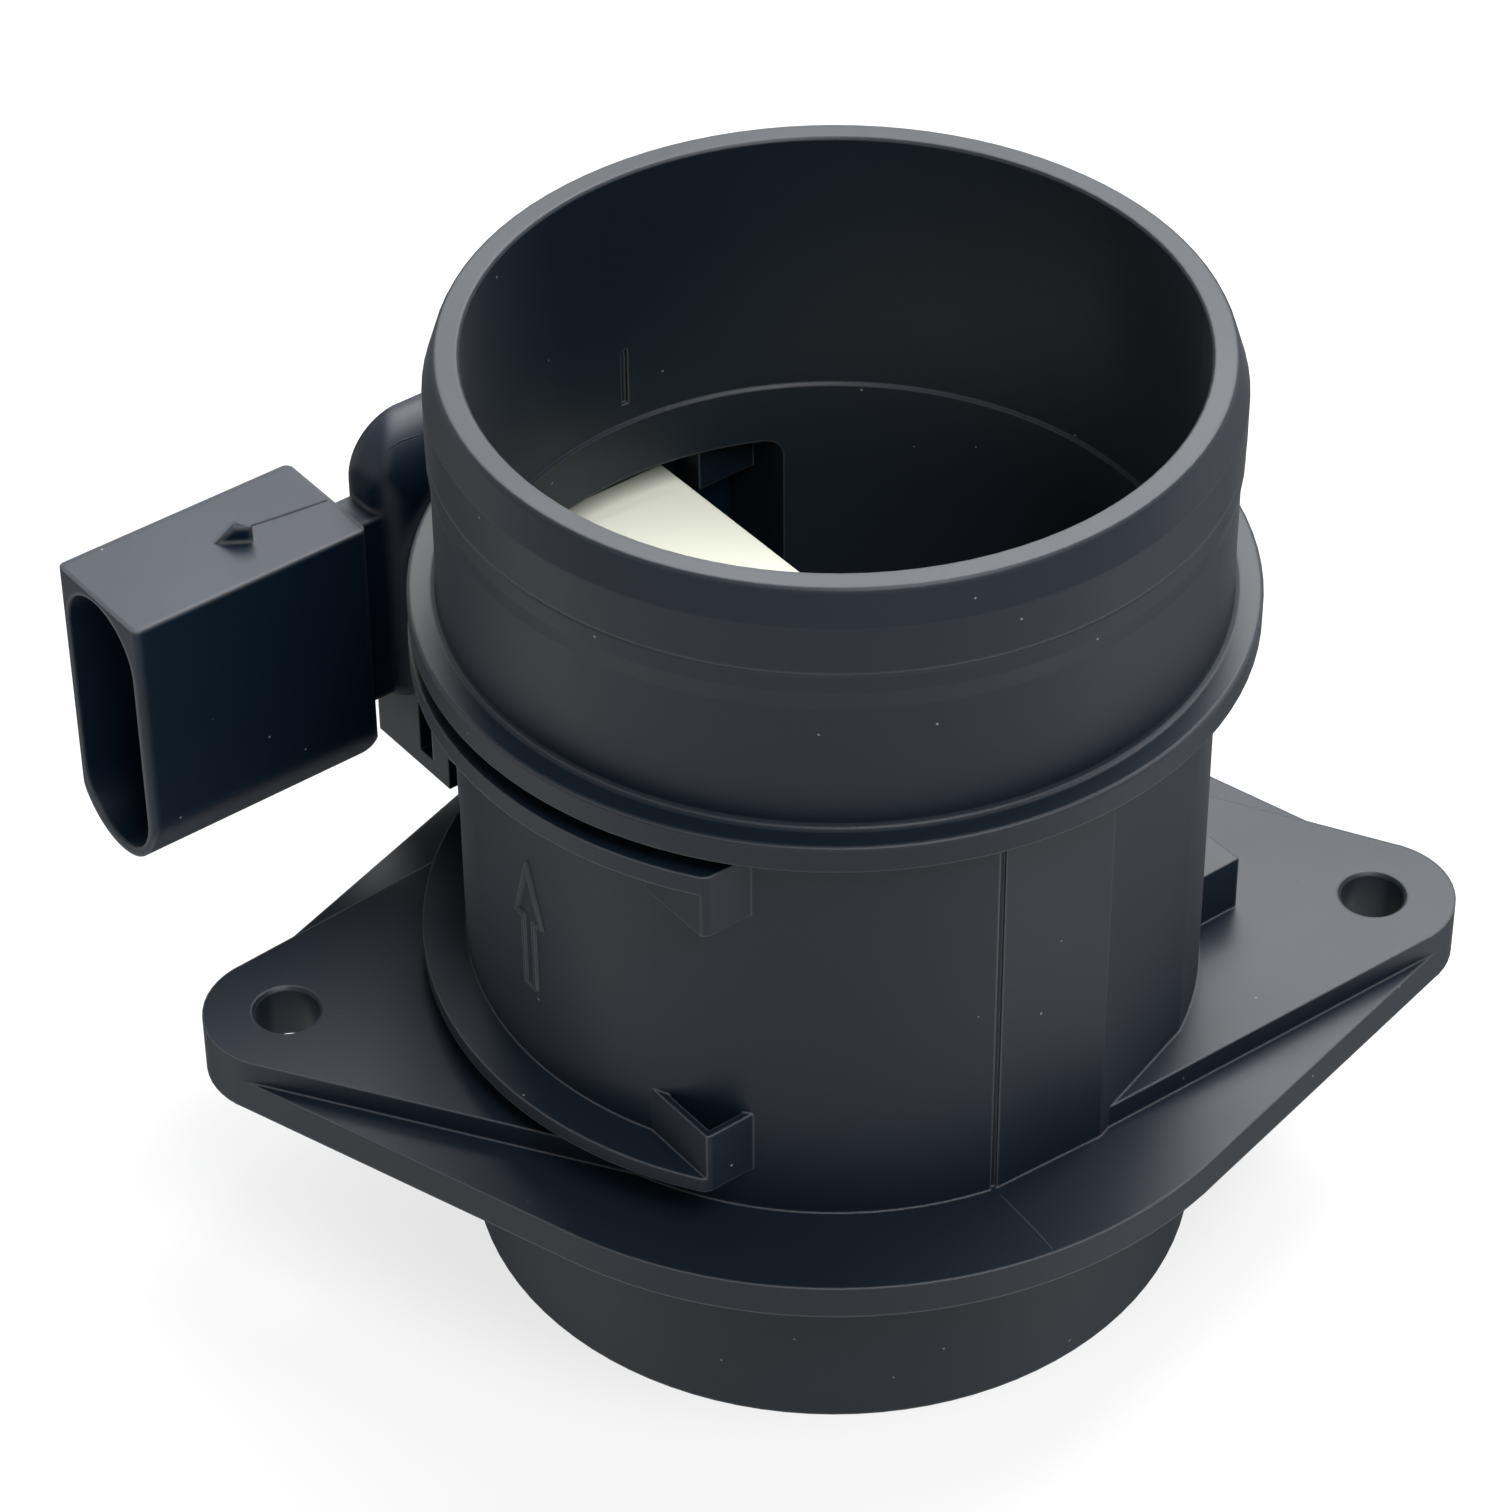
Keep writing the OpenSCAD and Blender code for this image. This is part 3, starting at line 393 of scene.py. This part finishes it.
def flash_line(name, path, half_width, half_height, finish, rings=48, sides=12):
    """A closed sliver along a path of places in millimetres.

    Each ring is an ellipse, half_width across the path and half_height upright. Both measures follow
    the fourth root of 4t(1 - t), so that the sliver runs out to a point at each end.
    """
    corners = np.array(path, dtype=float)
    steps = np.linalg.norm(np.diff(corners, axis=0), axis=1)
    run = np.concatenate([[0.0], np.cumsum(steps)]) / steps.sum()
    t = np.linspace(0.0, 1.0, rings)
    centre = np.stack([np.interp(t, run, corners[:, axis]) for axis in range(3)], axis=1)
    along = np.gradient(centre, axis=0)
    across = np.stack([along[:, 1], -along[:, 0], np.zeros(rings)], axis=1)
    across /= np.linalg.norm(across, axis=1)[:, None]
    size = np.clip(4.0 * t * (1.0 - t), 1e-6, None) ** 0.25
    turn = np.linspace(0.0, 2.0 * math.pi, sides, endpoint=False)
    sideways = across[:, None, :] * (half_width * size)[:, None, None] * np.cos(turn)[None, :, None]
    upright = np.zeros((rings, sides, 3))
    upright[:, :, 2] = (half_height * size)[:, None] * np.sin(turn)[None, :]
    points = (centre[:, None, :] + sideways + upright).reshape(-1, 3) * MM
    index = np.arange(rings * sides).reshape(rings, sides)
    after = np.roll(index, -1, axis=1)
    quads = np.stack([index[:-1], index[1:], after[1:], after[:-1]], axis=-1).reshape(-1, 4)
    faces = quads.tolist() + [index[0].tolist()] + [index[-1][::-1].tolist()]
    mesh = bpy.data.meshes.new(name)
    mesh.from_pydata(points.tolist(), [], faces)
    mesh.polygons.foreach_set("use_smooth", [True] * len(faces))
    mesh.materials.append(FINISHES[finish])
    piece = bpy.data.objects.new(name, mesh)
    bpy.context.scene.collection.objects.link(piece)
    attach(piece, "root")


SHROUD_TOP = 71.5
PLATE_TOP = 29.46
flash_line(
    "flash_on_shroud",
    [
        at_module(56.15, 35.6, SHROUD_TOP),
        at_module(55.45, 30.5, SHROUD_TOP),
        at_module(54.88, 26.2, SHROUD_TOP),
    ],
    half_width=0.16, half_height=0.13, finish="module_plastic",
)
flash_line(
    "flash_on_dome",
    [
        at_module(50.85, 21.2, 78.07),
        at_module(51.05, 19.0, 78.28),
        at_module(50.90, 16.4, 78.14),
    ],
    half_width=0.09, half_height=0.07, finish="module_plastic",
)
flash_line(
    "flash_on_plate",
    [(10.95, -38.9, PLATE_TOP), (12.9, -43.1, PLATE_TOP), (14.95, -47.9, PLATE_TOP)],
    half_width=0.13, half_height=0.09, finish="housing_plastic",
)


# Floor: pale, bright towards the camera and in reflections, and still taking the object's shadow

FLOOR_HALF = 4.0
FLOOR_STEPS = 9
FLOOR_DROP = 0.0002
FLOOR_COLOUR = (0.80, 0.80, 0.80, 1.0)
FLOOR_WHITE_SHARE = 0.75
PLAIN_WHITE = (1.0, 1.0, 1.0, 1.0)


def floor_surface(half, steps):
    """A flat square sheet on a regular grid: x and y run from -half to half, and z is nought."""
    line = np.linspace(-half, half, steps)
    x, y = np.meshgrid(line, line, indexing="ij")
    points = np.stack([x, y, np.zeros_like(x)], axis=-1).reshape(-1, 3)
    index = np.arange(steps * steps).reshape(steps, steps)
    quads = np.stack([index[:-1, :-1], index[1:, :-1], index[1:, 1:], index[:-1, 1:]], axis=-1)
    return points, quads.reshape(-1, 4)


def white_rays(tree):
    """One for the rays that see the plain white: the camera's, and those in mirrors and through glass."""
    rays = add(tree, "ShaderNodeLightPath")
    seen = math_node(tree, "MAXIMUM", rays.outputs["Is Camera Ray"], rays.outputs["Is Glossy Ray"])
    return math_node(tree, "MAXIMUM", seen, rays.outputs["Is Transmission Ray"])


def floor_material():
    """Pale matt floor whose own white shows to the camera, mirrors and glass, with the shadow mixed in."""
    material = bpy.data.materials.new("pale_floor")
    material.use_nodes = True
    tree = material.node_tree
    tree.nodes.clear()
    links = tree.links
    matt = add(tree, "ShaderNodeBsdfDiffuse")
    value(matt, "Color", FLOOR_COLOUR)
    white = add(tree, "ShaderNodeEmission")
    value(white, "Color", PLAIN_WHITE)
    value(white, "Strength", 1.0)
    share = math_node(tree, "MULTIPLY", white_rays(tree), FLOOR_WHITE_SHARE)
    blend = add(tree, "ShaderNodeMixShader")
    links.new(share, blend.inputs["Fac"])
    links.new(matt.outputs["BSDF"], blend.inputs[1])
    links.new(white.outputs["Emission"], blend.inputs[2])
    output = add(tree, "ShaderNodeOutputMaterial")
    links.new(blend.outputs["Shader"], output.inputs["Surface"])
    return material


floor_points, floor_quads = floor_surface(FLOOR_HALF, FLOOR_STEPS)
floor_mesh = bpy.data.meshes.new("floor")
floor_mesh.from_pydata(floor_points.tolist(), [], floor_quads.tolist())
floor_mesh.materials.append(floor_material())
floor = bpy.data.objects.new("floor", floor_mesh)
floor.location = (0.0, 0.0, low_at_start.z - FLOOR_DROP)
bpy.context.scene.collection.objects.link(floor)


# Light: soft lamps behind, high behind on the right and high in front, and a pale world.
# Powers are in watts.

def soft_lamp(name, place, aim, width, height, power):
    """A rectangular lamp at a place, turned to face a point."""
    data = bpy.data.lights.new(name, "AREA")
    data.shape = "RECTANGLE"
    data.size = width
    data.size_y = height
    data.energy = power
    lamp = bpy.data.objects.new(name, data)
    lamp.location = place
    lamp.rotation_mode = "QUATERNION"
    lamp.rotation_quaternion = (Vector(aim) - Vector(place)).to_track_quat("-Z", "Y")
    bpy.context.scene.collection.objects.link(lamp)


CENTRE = (0.0, 0.0, 0.055)
soft_lamp("back", (0.08, 0.63, 0.585), CENTRE, width=0.55, height=0.35, power=4.2)
soft_lamp("high_right", (0.24, 0.32, 0.785), CENTRE, width=0.55, height=0.45, power=12.0)
soft_lamp("key", (0.14, -0.44, 0.69), CENTRE, width=0.40, height=0.40, power=6.2)

WORLD_COLOUR = (0.95, 0.98, 1.0, 1.0)
WORLD_STRENGTH = 0.22


def pale_world():
    """Even pale light, with a white that only the camera, mirrors and glass see."""
    world = bpy.data.worlds.new("pale_world")
    world.use_nodes = True
    tree = world.node_tree
    tree.nodes.clear()
    links = tree.links
    soft = add(tree, "ShaderNodeBackground")
    value(soft, "Color", WORLD_COLOUR)
    value(soft, "Strength", WORLD_STRENGTH)
    white = add(tree, "ShaderNodeBackground")
    value(white, "Color", PLAIN_WHITE)
    value(white, "Strength", 1.0)
    blend = add(tree, "ShaderNodeMixShader")
    links.new(white_rays(tree), blend.inputs["Fac"])
    links.new(soft.outputs["Background"], blend.inputs[1])
    links.new(white.outputs["Background"], blend.inputs[2])
    output = add(tree, "ShaderNodeOutputWorld")
    links.new(blend.outputs["Shader"], output.inputs["Surface"])
    return world


bpy.context.scene.world = pale_world()


# Camera, at the photograph's viewing angle

CAMERA_PLACE = (-0.070453662, -0.420113557, 0.408571101)
CAMERA_FORWARD = (0.112993768, 0.763743641, -0.635553349)
CAMERA_UP = (0.100814833, 0.627536059, 0.772032943)
CAMERA_RIGHT = (0.988467894, -0.151308116, -0.006089024)
CAMERA_LENS = 124.50
SENSOR_WIDTH = 36.0
NEAREST = 0.01
FARTHEST = 20.0

camera_data = bpy.data.cameras.new("camera")
camera_data.lens = CAMERA_LENS
camera_data.sensor_width = SENSOR_WIDTH
camera_data.clip_start = NEAREST
camera_data.clip_end = FARTHEST
camera = bpy.data.objects.new("camera", camera_data)
turn = Matrix((CAMERA_RIGHT, CAMERA_UP, tuple(-c for c in CAMERA_FORWARD))).transposed()
camera.rotation_mode = "QUATERNION"
camera.rotation_quaternion = turn.to_quaternion()
camera.location = CAMERA_PLACE
bpy.context.scene.collection.objects.link(camera)
bpy.context.scene.camera = camera

bpy.context.scene.view_settings.view_transform = "Standard"


bpy.context.view_layer.update()
